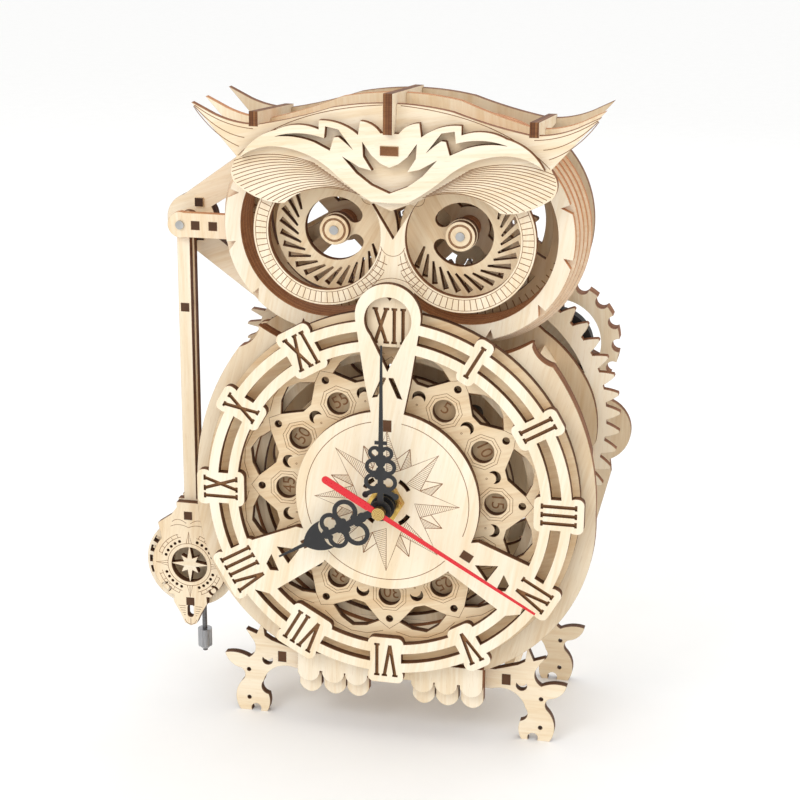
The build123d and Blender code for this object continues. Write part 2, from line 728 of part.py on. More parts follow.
# ---- feet and tail feathers ----
def foot_outline():
    """Right foot: horned leg with two arched claws, down to the desk."""
    sole = -dial_height
    foot = outline(
        (30, -64), (37, -64), (45, -61.5), (47.5, -60), (48.3, -54.5), (50.5, -59.5), (54.5, -58),
        (51.8, -62), ((51.0, -65.5), (53.5, -69)), ((58, -67.6), (62.5, -68)), ((60, -72), (56.5, -73.5)),
        ((55.2, sole + 15), (55.8, sole + 12)), ((58.5, sole + 6.5), (57, sole)), (52.6, sole),
        ((51.0, sole + 2.8), (49.4, sole)), (46.9, sole), ((45.8, sole + 4), (46.3, sole + 7)),
        ((48.8, sole + 9), (48.2, sole + 12)), ((45.5, -73.4), (36, -71.5)),
        (30, -71.5))
    foot -= disc(53.6, -73.8, 0.8) + disc(53.6, sole + 5.1, 0.8)
    return foot - (disc(46.5, -69.3, 2.0) - disc(46.5, -67.4, 2.0))


def foot_plate_shape(top):
    shape = bar(0, -67.75, 64, 7.5) + both_sides(foot_outline()) + bar(0, (top - 66) / 2, 60, top + 66)
    rail_slot = bar(foot_rail_x, -67.5, ply + 2 * joint_gap, 4 + 2 * joint_gap)
    return shape - both_sides(rail_slot)


def feather_comb(top, bottom, blunt):
    shape = bar(0, top - 1.25, 67, 2.5)
    feather = bar(0, (top + bottom) / 2 + 1.5, 8, top - bottom - 3)
    if blunt:
        feather += disc(0, bottom + 4, 4)
    else:
        half_tip = outline((0, bottom), ((2.6, bottom + 1.1), (4, bottom + 3.2)), (0, bottom + 3.2))
        feather += both_sides(half_tip)
    for x in feather_tips:
        shape += both_sides(Pos(x, 0) * feather)
    return shape


def make_feet():
    front = foot_plate_shape(backing_bottom) - slot_cut(long_ribs[1:])
    save("feet_front", plate(front, body_back_y))
    save("feet_rear", plate(foot_plate_shape(backing_bottom), foot_rear_y))
    rails = []
    for side in (-1, 1):
        tenon = bar(side * foot_rail_x, -67.5, ply, 4)
        web = bar(side * foot_rail_x, -67.5, ply, 7)
        rail = plate(tenon, body_back_y, foot_rear_y + ply - body_back_y)
        rails.append(rail + plate(web, body_back_y + ply, foot_rear_y - body_back_y - ply))
    save("foot_rails", group(rails))
    save("feathers_pointed", plate(feather_comb(-64.0, -78.5, False), body_front_y))
    arched = bar(0, -65.0, 67, 6.0) - disc(0, 0, lattice_radius + 0.2)
    save("feathers_rounded", plate(feather_comb(-66.2, -73.0, True) + arched, lattice_y))


# ---- head ----
def brow_shape():
    half = outline(
        (0, 102.6), (6, 102.8), ((12.6, 107.0), (20, 113)), ((28, 117.5), (37, 119.5)),
        ((44.5, 118.6), (50.5, 115.3)), ((45.5, 121.4), (38, 125)), ((30, 127.0), (23.5, 125.7)),
        (23.5, 128.7), ((17, 128), (10.4, 124.5)), (9.8, 129), ((6, 128), (3, 125.3)), (0, 125.3))
    side_cut = outline(
        (38.5, 122.8), ((30, 124.2), (21.7, 122.9)), (21.3, 126.8), (17, 126), (12, 119.5),
        ((14.9, 122.0), (17, 123.6)), (18.5, 123.4), (19.8, 119), (25, 121.5), ((32, 123), (38.5, 122.8)))
    middle_cut = polygon(
        (0, 105.8), (6, 108.3), (11, 112), (15.7, 117.3), (10, 114), (5.8, 113), (8.7, 117.5),
        (9, 122.3), (6, 118), (3, 115.5), (0, 114.2))
    shape = both_sides(half) - both_sides(side_cut) - both_sides(middle_cut)
    return shape - peg_slot()


def dome_outline(bottom, top=crown_top):
    """Crown and ear tips, right half, between the given heights."""
    return outline(
        (0, bottom), (0, top), ((10, top - 0.5), (20, top - 2)), ((33, (top + 122.7) / 2), (45, 126)),
        ((53, 126.6), (60, 128.8)), (67.5, 132.5), ((59.5, 123.5), (52, 115)), (40, bottom))


def crown_slots():
    top = ridge_tops[0]
    ridge = bar(0, (halving_height + top) / 2, ply + 2 * joint_gap, top - halving_height)
    side = bar(slat_x, (slat_halving + top) / 2, ply + 2 * joint_gap, top - slat_halving)
    return ridge + both_sides(side)


def face_shape():
    """Front head plate: crown, ears and the two fan-shaped eyelids."""
    lid = outline(
        (0, 99.5), (10, 103.5), ((17, 106.4), (24, 106.3)), ((31, 104.0), (36, 100.5)), (38, 100.3),
        (42, 100.7), (46, 102), (50, 104), (53, 106), ((54.4, 110), (53, 114)), (52, 116), (0, 122))
    return both_sides(lid + dome_outline(112)) - crown_slots() - peg_slot()


def peg_slot():
    return bar(0, peg_height, 6 + 2 * joint_gap, ply + 2 * joint_gap)


def lens_shape():
    """Rings round the eyes with the beak between them."""
    nose = outline((0, 89.4), (7.2, 101), (12, 101), (12, 80), (16, 72), ((9, 72.5), (4.5, 67)), (0, 67))
    bridge = polygon((0, 114), (0, 123), (8, 123), (22, 113), (9, 103), (5.4, 101))
    shape = both_sides(ring(23.4, eye_height, lens_ring_radius, lens_ring_bore) + nose + bridge)
    shape -= both_sides(polygon((0, 89.4), (7.2, 101), (5.4, 101.5), (0, 114)))
    return shape - both_sides(disc(23.4, eye_height, lens_ring_bore)) - peg_slot()


def goggle_shape(step):
    radius = goggle_front_radius + goggle_growth * step
    shape = both_sides(disc(goggle_x, goggle_z, radius)) + bar(0, goggle_z, 30, 52)
    shape -= both_sides(disc(goggle_x, goggle_z, goggle_hole_radius))
    if step == 0:
        for angle in (19, -11, -43, -76):
            turned = Pos(goggle_x, goggle_z) * Rot(0, 0, angle)
            notch = polygon((radius - 3.2, 0.4), (radius + 1, -3.6), (radius + 1, 0.6))
            shape -= both_sides(turned * notch)
    return shape


def ear_plate_shape():
    """Goggle plate with the crown and ears, and the arm that carries the pendulum pin."""
    shape = both_sides(dome_outline(100, ear_crown_top)) + goggle_shape(2)
    shape += bar((pendulum_x - 56) / 2, pendulum_pivot_height, -56 - pendulum_x, 8.5)
    shape += disc(pendulum_x, pendulum_pivot_height, 4.5)
    shape -= disc(pendulum_x, pendulum_pivot_height, pendulum_pin_radius)
    shape -= both_sides(disc(goggle_x, goggle_z, goggle_hole_radius))
    return shape - arm_slots() - crown_slots()


def head_rear_shape():
    """Rear head plate: crown and ears, two spoked windows and a notch round the spring barrel."""
    shape = both_sides(dome_outline(100))
    shape += both_sides(disc(goggle_x, goggle_z, 38.0)) + bar(0, goggle_z, 44, 60)
    shape -= both_sides(disc(eye_x, eye_height, eye_axle_radius + shaft_gap))
    shape -= disc(winding_x, winding_z, barrel_radius + layer_gap)
    shape -= disc(escape_x, escape_z, collar_radius + layer_gap)
    for side in (-1, 1):
        shape -= Pos(side * eye_x, eye_height) * spokes(28, 24, 8, 9, 3, 90)
    return shape - crown_slots()


def square_slots(places, gap=joint_gap):
    """Square holes for tenons as wide as the sheet is thick."""
    side = ply + 2 * gap
    return Sketch() + [bar(x, z, side, side) for x, z in places]


def arm_slots():
    return square_slots([(x, pendulum_pivot_height) for x in arm_slat_x])


def slat_profile(front, back, bottom, tops, width=ply):
    """Upright sheet that faces sideways. Its top edge runs between two heights, front and back."""
    sheet = Plane.YZ.offset(-width / 2)
    shape = polygon((front, bottom), (back, bottom), (back, tops[1]), (front, tops[0]))
    return Pos(0, 0, dial_height) * extrude(sheet * shape, amount=width)


def crown_slat(x, front, back, bottom, tops, halving, plates):
    """Slat standing along the head, notched from below over each plate it crosses."""
    slat = slat_profile(front, back, bottom, tops)
    for start in plates:
        near = start - joint_gap
        far = start + ply + joint_gap
        slat -= slat_profile(near, far, bottom - 1, (halving, halving), 2 * ply)
    return Pos(x, 0, 0) * slat


def make_head():
    save("brow_crest", plate(brow_shape(), brow_y))
    save("face_plate", plate(face_shape(), face_y))
    save("lens_plate", plate(lens_shape(), lens_y))
    stack = []
    for step in range(5):
        shape = ear_plate_shape() if step == 2 else goggle_shape(step)
        stack.append(plate(shape, goggle_y + step * ply))
    save("goggle_front", stack[0])
    save("goggle_second", stack[1])
    save("goggle_ear_plate", stack[2])
    save("goggle_back_pair", group(stack[3:]))
    save("head_rear", plate(head_rear_shape(), head_rear_y))
    plates = [face_y, ear_y, head_rear_y]
    back = head_rear_y + ply
    ridge = crown_slat(0, brow_y - ply, back, 125.3, ridge_tops, halving_height, plates)
    slats = [ridge] + [
        crown_slat(side * slat_x, face_y, back, slat_bottom, side_slat_tops, slat_halving, plates)
        for side in (-1, 1)]
    save("crown_slats", group(slats))
    front_posts = []
    for side in (-1, 1):
        for x, z in [(23.4, -23.0), (42, -12), (47.0, 14.5), (6.0, 20)]:
            front_posts.append(pin(side * x, goggle_z + z, 1.2, lens_y + ply, goggle_y))
    posts = []
    for side in (-1, 1):
        for angle in (-60, 5, 75):
            x, z = polar(33.5, angle)
            x = side * (goggle_x + x)
            posts.append(pin(x, goggle_z + z, post_radius, goggle_back_y, bearing_y))
            if angle > 0:
                posts.append(pin(x, goggle_z + z, post_radius, bearing_y + ply, head_rear_y))
    for x in (-26, 14):
        posts.append(pin(x, 59, post_radius, head_rear_y + ply, body_rear_y))
    save("spacer_pins", group(dial_washers() + front_posts + posts))


# ---- pendulum ----
def pendulum_place(x, z):
    """A place on the pendulum, measured down from the pivot."""
    return pendulum_x + x, pendulum_pivot_height - z


def pendulum_plate_shape(bore):
    shape = disc(*pendulum_place(0, 0), 3.4)
    rod_length = bob_drop - 6
    shape += bar(*pendulum_place(0, rod_length / 2), rod_width, rod_length)
    shape += bar(*pendulum_place(0, bob_drop - bob_radius - 2.5), 9, 10)
    shape += ring(*pendulum_place(0, bob_drop), bob_radius, 12.0)
    shape += disc(*pendulum_place(0, bob_drop), 13)
    for angle in (150, 165, 180, 195):
        x, z = polar(14.6, angle)
        shape -= bar(*pendulum_place(x, bob_drop - z), 3.2, 2.6, angle)
    shape -= disc(*pendulum_place(0, 0), pendulum_pin_radius + shaft_gap)
    if bore > 0:
        shape -= disc(*pendulum_place(0, bob_drop), bore)
    return shape - peg_holes(joint_gap)


def peg_holes(gap):
    """Square tenons that hold the pendulum's plates together."""
    return square_slots([pendulum_place(0, drop) for drop in pendulum_pegs], gap)


def medallion_shape():
    shape = disc(*pendulum_place(0, bob_drop), medallion_radius)
    shape += bar(*pendulum_place(0, bob_drop - 18.5), 8.5, 11)
    shape += both_sides_of_bob(polygon((0, 24.0), (4.2, 22), (6.4, 19), (11.5, 15.5), (10, 8), (0, 8)))
    shape += both_sides_of_bob(polygon((0, -24.0), (2.2, -23), (4.0, -19), (9.0, -10.5), (0, -8)))
    shape -= disc(*pendulum_place(0, bob_drop), emblem_bore)
    dot_angles = [45 * quarter + step for quarter in (0, 2, 4, 6) for step in (22, 34, 46, 58, 70)]
    for angle in dot_angles:
        x, z = polar(9.4, angle)
        shape -= disc(*pendulum_place(x, bob_drop - z), 0.55)
    shape -= both_sides_of_bob(scroll_cut())
    slot = Pos(*pendulum_place(0, bob_drop + 18.2)) * SlotOverall(5.0, 2.4, 90)
    return shape - slot - peg_holes(joint_gap)


def both_sides_of_bob(shape):
    """Right half drawn about the bob's centre, mirrored and put in place."""
    return Pos(*pendulum_place(0, bob_drop)) * both_sides(shape)


def scroll_cut():
    hook = ring(9.0, -9.4, 2.0, 1.1) - bar(7.6, -8.4, 2.0, 1.2, 35)
    return hook + polygon((6.2, -12.2), (8.2, -12.2), (6.4, -15.0))


def emblem_shape():
    """Plain eight-point star held across the medallion's bore by four of its points."""
    points = []
    for index in range(16):
        reach = 2.4 if index % 2 else (emblem_bore + 0.6 if index % 4 == 0 else 4.6)
        points.append(polar(reach, 90 + 22.5 * index))
    star = polygon(*points) & Circle(emblem_bore)
    return Pos(*pendulum_place(0, bob_drop)) * star


def make_pendulum():
    bracket = pendulum_arms(8.7) - disc(pendulum_x, pendulum_pivot_height, pendulum_pin_radius)
    bracket -= square_slots(bracket_bar_places) + arm_slots()
    save("pendulum_bracket", plate(bracket, bracket_y))
    bars = [plate(bar(x, z, ply, ply), bracket_y - 1, 2 * ply + 2) for x, z in bracket_bar_places]
    slats = [
        plate(bar(x, pendulum_pivot_height, ply, ply), ear_y, bracket_y + ply - ear_y)
        for x in arm_slat_x]
    save("bracket_slats", group(bars + slats))
    pivot = pin(pendulum_x, pendulum_pivot_height, pendulum_pin_radius, ear_y - 0.8, bearing_y + ply + 0.8)
    save("pendulum_pin", pivot)
    save("pendulum_front", plate(pendulum_plate_shape(bob_bore), pendulum_y))
    save("pendulum_back", plate(pendulum_plate_shape(0), pendulum_back_y))
    save("bob_medallion", plate(medallion_shape(), medallion_y))
    save("bob_emblem", plate(emblem_shape(), medallion_y + 0.5, ply - 0.5))
    pieces = []
    for drop in pendulum_pegs:
        x, z = pendulum_place(0, drop)
        front = medallion_y if drop > bob_drop / 2 else pendulum_y
        peg = plate(bar(x, z, ply, ply), front, pendulum_back_y + ply - front)
        pieces.append(peg + plate(bar(x, z, ply, ply + 2), pendulum_y + ply, pendulum_gap))
    save("pendulum_pegs", group(pieces))
    make_rating_weight()


def make_rating_weight():
    """Knurled weight that screws up and down on a pin below the bob."""
    x, z = pendulum_place(weight_offset, bob_drop + bob_radius - 1.5)
    centre_y = pendulum_y + ply + pendulum_gap / 2
    wire = Cylinder(weight_pin_radius, weight_pin_length)
    save("weight_pin", Pos(x, centre_y, dial_height + z - weight_pin_length / 2) * wire)
    section = Circle(weight_radius)
    for tooth in range(12):
        section -= Pos(*polar(weight_radius + 0.15, 30 * tooth)) * Circle(0.3)
    knurled = extrude(section, amount=weight_length - weight_chamfer)
    rim = weight_radius - 0.2
    cone = Pos(0, 0, -weight_chamfer / 2) * Cone(rim - weight_chamfer, rim, weight_chamfer)
    bore = Cylinder(weight_pin_radius + shaft_gap, 3 * weight_length)
    bottom = dial_height + z - weight_drop - weight_length + weight_chamfer
    save("weight_knob", Pos(x, centre_y, bottom) * (knurled + cone - bore))


os.makedirs("parts", exist_ok=True)
make_dial()
make_movement()
make_drive()
left_phase = 0.0
make_eye("left_eye", -1, left_phase)
make_eye("right_eye", 1, mesh_phase(left_phase, gear_tooth_pair, gear_tooth_pair, 0.0))
make_escape()
make_winding()
make_body()
make_feet()
make_head()
make_pendulum()
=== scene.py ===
"""Looks for the owl clock model: laser-cut birch plywood, blackened hands, steel pins and engraved lines."""

import math

import bpy
from mathutils import Matrix, Vector


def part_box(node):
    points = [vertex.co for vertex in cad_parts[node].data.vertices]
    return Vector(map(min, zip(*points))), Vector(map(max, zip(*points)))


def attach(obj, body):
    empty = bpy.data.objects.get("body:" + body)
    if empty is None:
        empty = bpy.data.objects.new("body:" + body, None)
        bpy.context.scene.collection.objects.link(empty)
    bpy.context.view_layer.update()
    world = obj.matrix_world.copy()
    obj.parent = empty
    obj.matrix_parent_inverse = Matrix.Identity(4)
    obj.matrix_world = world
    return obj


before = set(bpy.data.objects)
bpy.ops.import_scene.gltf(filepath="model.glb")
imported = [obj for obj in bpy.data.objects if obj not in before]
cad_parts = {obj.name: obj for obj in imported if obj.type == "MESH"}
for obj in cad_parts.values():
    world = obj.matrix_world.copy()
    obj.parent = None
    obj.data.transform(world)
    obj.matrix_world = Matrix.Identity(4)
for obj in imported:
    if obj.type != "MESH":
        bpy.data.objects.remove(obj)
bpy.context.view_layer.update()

# ---- sizes, in metres unless named otherwise ----
mm = 0.001
ply = 3 * mm                       # one sheet of plywood, three layers of veneer
nut_low, nut_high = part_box("movement_nut")
dial_height = (nut_low.z + nut_high.z) / 2
score_proud = 0.02 * mm            # how far a scored line's crust stands above the face
fine_score = 0.22 * mm
plain_score = 0.30 * mm
bold_score = 0.42 * mm
rung_score = 0.16 * mm
wide_cap = 2.25 * mm               # radius of the turned cap on the second hand
rim_reach = 0.22 * mm              # how far the scorch of a cut creeps over the face

eye_place = (21.5, 90.3)           # the drawings below are in mm about the dial's centre
lens_place = (23.4, 90.3)
goggle_place = (24.2, 90.5)
bob_place = (-77.8, -38.0)
number_circle = 36.7
number_height = 6.2
compass_tip = 25.3                 # radii of the compass on the dial: long and short points, valleys, root
compass_short_tip = 21.0
compass_valley = 12.6
compass_root = 9.8
hours = range(12)


def face_depth(node):
    """Depth of the front face of a plate."""
    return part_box(node)[0].y


# ---- camera, lights and table ----
def look_from(target, distance, azimuth, elevation, roll):
    """Camera matrix for a place on a sphere round the target, angles in degrees."""
    turn, climb, tilt = (math.radians(a) for a in (azimuth, elevation, roll))
    back = Vector((math.sin(turn) * math.cos(climb), -math.cos(turn) * math.cos(climb), math.sin(climb)))
    right = Vector((math.cos(turn), math.sin(turn), 0))
    up = back.cross(right)
    side = right * math.cos(tilt) + up * math.sin(tilt)
    top = up * math.cos(tilt) - right * math.sin(tilt)
    place = Matrix((side, top, back)).transposed().to_4x4()
    place.translation = target + back * distance
    return place


def set_camera():
    bpy.ops.object.camera_add()
    camera = bpy.context.object
    camera.matrix_world = look_from(Vector((0.00442, 0, 0.1265)), 0.615, 12.225, 17.02, 0.474)
    camera.data.lens = 82.8
    camera.data.sensor_width = 36
    bpy.context.scene.camera = camera


def softbox(name, place, aim, size, power, tint):
    bpy.ops.object.light_add(type="AREA", location=place)
    lamp = bpy.context.object
    lamp.name = name
    lamp.data.shape = "RECTANGLE"
    lamp.data.size, lamp.data.size_y = size
    lamp.data.energy = power
    lamp.data.color = tint
    lamp.rotation_euler = (Vector(aim) - Vector(place)).to_track_quat("-Z", "Y").to_euler()


def light_studio():
    middle = (0, 0.02, 0.12)
    softbox("key_softbox", (-0.55, -0.95, 0.95), middle, (0.55, 0.55), 4.2, (1.0, 0.985, 0.96))
    softbox("fill_softbox", (0.95, -0.85, 0.35), middle, (0.8, 0.8), 1.0, (0.97, 0.985, 1.0))
    softbox("rim_softbox", (0.2, 0.9, 0.8), middle, (0.9, 0.5), 1.5, (1.0, 1.0, 1.0))
    scene = bpy.context.scene
    scene.view_settings.view_transform = "Standard"
    world = bpy.data.worlds.new("white_sweep")
    world.use_nodes = True
    sky = world.node_tree.nodes["Background"]
    sky.inputs["Color"].default_value = (1.0, 1.0, 1.0, 1)
    sky.inputs["Strength"].default_value = 1.0
    scene.world = world


def lay_table():
    """Wide pale table top, under the feet."""
    bpy.ops.object.select_all(action="DESELECT")
    bpy.ops.mesh.primitive_plane_add(size=6, location=(0, 0.8, 0))
    table = bpy.context.object
    table.name = "table_top"
    bpy.ops.object.mode_set(mode="EDIT")
    bpy.ops.mesh.extrude_region_move(TRANSFORM_OT_translate={"value": (0, 0, -0.04)})
    bpy.ops.object.mode_set(mode="OBJECT")
    table.data.materials.append(make_table_paint())


# ---- shader building ----
def srgb(red, green, blue):
    """Scene colour of a 0-255 screen colour."""
    def linear(value):
        value /= 255
        return value / 12.92 if value <= 0.04045 else ((value + 0.055) / 1.055) ** 2.4

    return (linear(red), linear(green), linear(blue), 1)


class Bench:
    """Adds and joins the nodes of one material or group, left to right."""

    def __init__(self, tree):
        self.tree = tree
        self.column = 0

    def add(self, kind, **settings):
        node = self.tree.nodes.new(kind)
        node.location = (self.column, 0)
        self.column += 180
        for name, value in settings.items():
            setattr(node, name, value)
        return node

    def feed(self, socket, value):
        if isinstance(value, bpy.types.NodeSocket):
            self.tree.links.new(value, socket)
        else:
            socket.default_value = value

    def sum(self, operation, first, second=0.0, third=0.0, clamp=False):
        node = self.add("ShaderNodeMath", operation=operation, use_clamp=clamp)
        for socket, value in zip(node.inputs, (first, second, third)):
            self.feed(socket, value)
        return node.outputs[0]

    def steps(self, value, low, high, out_low=0.0, out_high=1.0):
        node = self.add("ShaderNodeMapRange", interpolation_type="SMOOTHSTEP")
        ends = {"From Min": low, "From Max": high, "To Min": out_low, "To Max": out_high}
        for name, number in ends.items():
            self.feed(node.inputs[name], number)
        self.feed(node.inputs["Value"], value)
        return node.outputs["Result"]

    def blend(self, share, first, second, how="MIX"):
        node = self.add("ShaderNodeMix", data_type="RGBA", blend_type=how)
        self.feed(node.inputs[0], share)
        self.feed(node.inputs[6], first)
        self.feed(node.inputs[7], second)
        return node.outputs[2]

    def noise(self, place, scale, detail=2.0, rough=0.5):
        node = self.add("ShaderNodeTexNoise")
        self.feed(node.inputs["Vector"], place)
        self.feed(node.inputs["Scale"], scale)
        node.inputs["Detail"].default_value = detail
        node.inputs["Roughness"].default_value = rough
        return node.outputs["Fac"]

    def mapping(self, place, shift=(0, 0, 0), turn=(0, 0, 0), scale=(1, 1, 1)):
        node = self.add("ShaderNodeMapping")
        self.feed(node.inputs["Vector"], place)
        self.feed(node.inputs["Location"], shift)
        self.feed(node.inputs["Rotation"], turn)
        self.feed(node.inputs["Scale"], scale)
        return node.outputs["Vector"]

    def group(self, made, **values):
        node = self.add("ShaderNodeGroup", node_tree=made)
        for name, value in values.items():
            self.feed(node.inputs[name.replace("_", " ")], value)
        return node.outputs


def new_group(name, takes, gives):
    """Empty shader node group with named sockets: its bench, its input sockets and its output node."""
    made = bpy.data.node_groups.new(name, "ShaderNodeTree")
    for label, kind, value in takes:
        socket = made.interface.new_socket(label, in_out="INPUT", socket_type=kind)
        if value is not None:
            socket.default_value = value
    for label, kind in gives:
        made.interface.new_socket(label, in_out="OUTPUT", socket_type=kind)
    bench = Bench(made)
    entry = bench.add("NodeGroupInput")
    leave = made.nodes.new("NodeGroupOutput")
    return made, bench, entry.outputs, leave.inputs


def build_birch_face():
    """Sanded birch veneer: long soft streaks, short pores and broad tone, along the grain."""
    made, bench, takes, gives = new_group(
        "birch_face",
        [("Place", "NodeSocketVector", None), ("Seed", "NodeSocketVector", None),
         ("Grain Turn", "NodeSocketVector", None), ("Warmth", "NodeSocketFloat", 0.3)],
        [("Colour", "NodeSocketColor"), ("Roughness", "NodeSocketFloat"), ("Height", "NodeSocketFloat")])
    turned = bench.mapping(takes["Place"], takes["Seed"], takes["Grain Turn"])
    streaks = bench.noise(bench.mapping(turned, scale=(55, 900, 900)), 1.0, 4.0, 0.6)
    bands = bench.noise(bench.mapping(turned, scale=(9, 110, 110)), 1.0, 3.0, 0.55)
    clouds = bench.noise(turned, 24.0, 2.0)
    pores = bench.noise(bench.mapping(turned, scale=(260, 2600, 2600)), 1.0, 1.0)
    pores = bench.steps(pores, 0.64, 0.74)
    pale = bench.blend(takes["Warmth"], srgb(248, 237, 216), srgb(234, 206, 160))
    deep = bench.blend(takes["Warmth"], srgb(236, 216, 182), srgb(212, 172, 120))
    figure = bench.sum("MULTIPLY", bands, 0.6)
    figure = bench.sum("MULTIPLY_ADD", streaks, 0.4, figure)
    figure = bench.steps(figure, 0.38, 0.66)
    tone = bench.blend(figure, pale, deep)
    tone = bench.blend(bench.steps(clouds, 0.45, 0.75, 0.0, 0.35), tone, deep)
    tone = bench.blend(bench.sum("MULTIPLY", pores, 0.16), tone, srgb(190, 150, 100))
    bench.feed(gives["Colour"], tone)
    bench.feed(gives["Roughness"], bench.sum("MULTIPLY_ADD", figure, 0.10, 0.52))
    bench.feed(gives["Height"], bench.sum("MULTIPLY_ADD", pores, -0.6, streaks))
    return made


def build_burnt_edge():
    """Laser-cut edge: three veneers, scorched more at the back of the cut, with fine vertical beam marks."""
    made, bench, takes, gives = new_group(
        "burnt_edge",
        [("Place", "NodeSocketVector", None), ("Front", "NodeSocketFloat", 0.0),
         ("Burn", "NodeSocketFloat", 0.6)],
        [("Colour", "NodeSocketColor"), ("Roughness", "NodeSocketFloat"), ("Height", "NodeSocketFloat")])
    split = bench.add("ShaderNodeSeparateXYZ")
    bench.feed(split.inputs[0], takes["Place"])
    depth = bench.sum("SUBTRACT", split.outputs["Y"], takes["Front"])
    through = bench.sum("FRACT", bench.sum("ADD", bench.sum("DIVIDE", depth, ply), 10.0))
    veneer = bench.sum("PINGPONG", bench.sum("MULTIPLY", through, 3.0), 0.5)
    glue_line = bench.steps(veneer, 0.04, 0.16, 1.0, 0.0)
    core = bench.sum("COMPARE", through, 0.5, 0.17)
    beam = bench.noise(bench.mapping(takes["Place"], scale=(2600, 160, 2600)), 1.0, 2.0)
    soot = bench.noise(takes["Place"], 240.0, 3.0)
    light = bench.blend(takes["Burn"], srgb(222, 152, 92), srgb(104, 68, 42))
    dark = bench.blend(takes["Burn"], srgb(172, 98, 48), srgb(44, 28, 18))
    scorch = bench.sum("MULTIPLY_ADD", through, 0.35, bench.sum("MULTIPLY", beam, 0.5))
    scorch = bench.sum("MULTIPLY_ADD", soot, 0.45, scorch)
    tone = bench.blend(bench.steps(scorch, 0.3, 0.95), light, dark)
    tone = bench.blend(bench.sum("MULTIPLY", core, 0.35), tone, dark)
    crust = bench.blend(bench.steps(takes["Burn"], 0.2, 0.5), srgb(244, 214, 172), srgb(40, 26, 18))
    tone = bench.blend(bench.sum("MULTIPLY", glue_line, 0.6), tone, crust)
    bench.feed(gives["Colour"], tone)
    bench.feed(gives["Roughness"], bench.sum("MULTIPLY_ADD", soot, 0.2, 0.62))
    bench.feed(gives["Height"], bench.sum("MULTIPLY_ADD", glue_line, -0.8, beam))
    return made


def build_cut_rim():
    """How near a point is to a sharp edge of its piece, 0 to 1, from how far the rounded normal leans."""
    made, bench, takes, gives = new_group(
        "cut_rim", [("Reach", "NodeSocketFloat", 0.3 * mm)], [("Mask", "NodeSocketFloat")])
    rounded = bench.add("ShaderNodeBevel", samples=6)
    bench.feed(rounded.inputs["Radius"], takes["Reach"])
    flat = bench.add("ShaderNodeNewGeometry")
    lean = bench.add("ShaderNodeVectorMath", operation="DOT_PRODUCT")
    bench.feed(lean.inputs[0], rounded.outputs["Normal"])
    bench.feed(lean.inputs[1], flat.outputs["True Normal"])
    bench.feed(gives["Mask"], bench.steps(lean.outputs["Value"], 0.86, 0.995, 1.0, 0.0))
    return made


def new_material(name):
    material = bpy.data.materials.new(name)
    material.use_nodes = True
    bench = Bench(material.node_tree)
    return material, bench, material.node_tree.nodes["Principled BSDF"]


def emboss(bench, shader, height, distance, strength):
    bump = bench.add("ShaderNodeBump")
    bump.inputs["Distance"].default_value = distance
    bump.inputs["Strength"].default_value = strength
    bench.feed(bump.inputs["Height"], height)
    bench.feed(shader.inputs["Normal"], bump.outputs["Normal"])


birch_face = build_birch_face()
burnt_edge = build_burnt_edge()
cut_rim = build_cut_rim()


def make_plywood(name, front, grain_turn, warmth, burn, seed, cut="sides", shade_share=0.0, engraved=False):
    """Plywood piece. Its laser-cut edge is what looks away from Y or from X, or just its two ends."""
    material, bench, shader = new_material(name)
    place = bench.add("ShaderNodeTexCoord")
    shift = (0.37 * seed, 0.11 * seed, 0.23 * seed)
    face = bench.group(birch_face, Place=place.outputs["Object"], Seed=shift,
                       Grain_Turn=(0, math.radians(grain_turn), 0), Warmth=warmth)
    layers = place.outputs["Object"]
    if cut == "upright":
        layers = bench.mapping(layers, turn=(0, 0, math.radians(90)))
    edge = bench.group(burnt_edge, Place=layers, Front=front, Burn=burn)
    split = bench.add("ShaderNodeSeparateXYZ")
    bench.feed(split.inputs[0], place.outputs["Normal"])
    facing = bench.sum("ABSOLUTE", split.outputs["X" if cut == "upright" else "Y"])
    on_edge = bench.sum("GREATER_THAN" if cut == "ends" else "LESS_THAN", facing, 0.7)
    rim = bench.group(cut_rim, Reach=rim_reach)
    # Painted shade: faces of plates set deep inside the clock are blended toward a shaded grey-brown, by
    # their share.
    surface = bench.blend(shade_share, face["Colour"], srgb(122, 98, 76))
    if engraved:
        where = bench.add("ShaderNodeSeparateXYZ")
        bench.feed(where.inputs[0], place.outputs["Object"])
        sunk = bench.sum("COMPARE", where.outputs["Y"], front + ply / 2, 0.4 * ply)
        soot = bench.noise(place.outputs["Object"], 1400.0)
        char = bench.blend(soot, srgb(176, 128, 82), srgb(116, 76, 44))
        surface = bench.blend(sunk, surface, char)
    tone = bench.blend(on_edge, surface, edge["Colour"])
    rim_share = bench.sum("MULTIPLY", rim["Mask"], bench.sum("MULTIPLY_ADD", on_edge, -0.6, 0.66))
    tone = bench.blend(rim_share, tone, srgb(112, 76, 46))
    bench.feed(shader.inputs["Base Color"], tone)
    bench.feed(shader.inputs["Roughness"], bench.blend(on_edge, face["Roughness"], edge["Roughness"]))
    shader.inputs["Specular IOR Level"].default_value = 0.35
    emboss(bench, shader, bench.blend(on_edge, face["Height"], edge["Height"]), 0.04 * mm, 0.35)
    return material


def make_metal(name, colour, roughness, grain=(900, 900, 900)):
    """Turned metal with fine tool marks."""
    material, bench, shader = new_material(name)
    place = bench.add("ShaderNodeTexCoord").outputs["Object"]
    marks = bench.noise(bench.mapping(place, scale=grain), 1.0, 3.0)
    shader.inputs["Metallic"].default_value = 1.0
    darker = tuple(value * 0.72 for value in colour[:3]) + (1,)
    bench.feed(shader.inputs["Base Color"], bench.blend(bench.steps(marks, 0.35, 0.7), colour, darker))
    bench.feed(shader.inputs["Roughness"], bench.steps(marks, 0.3, 0.7, roughness - 0.06, roughness + 0.1))
    emboss(bench, shader, marks, 0.02 * mm, 0.3)
    return material


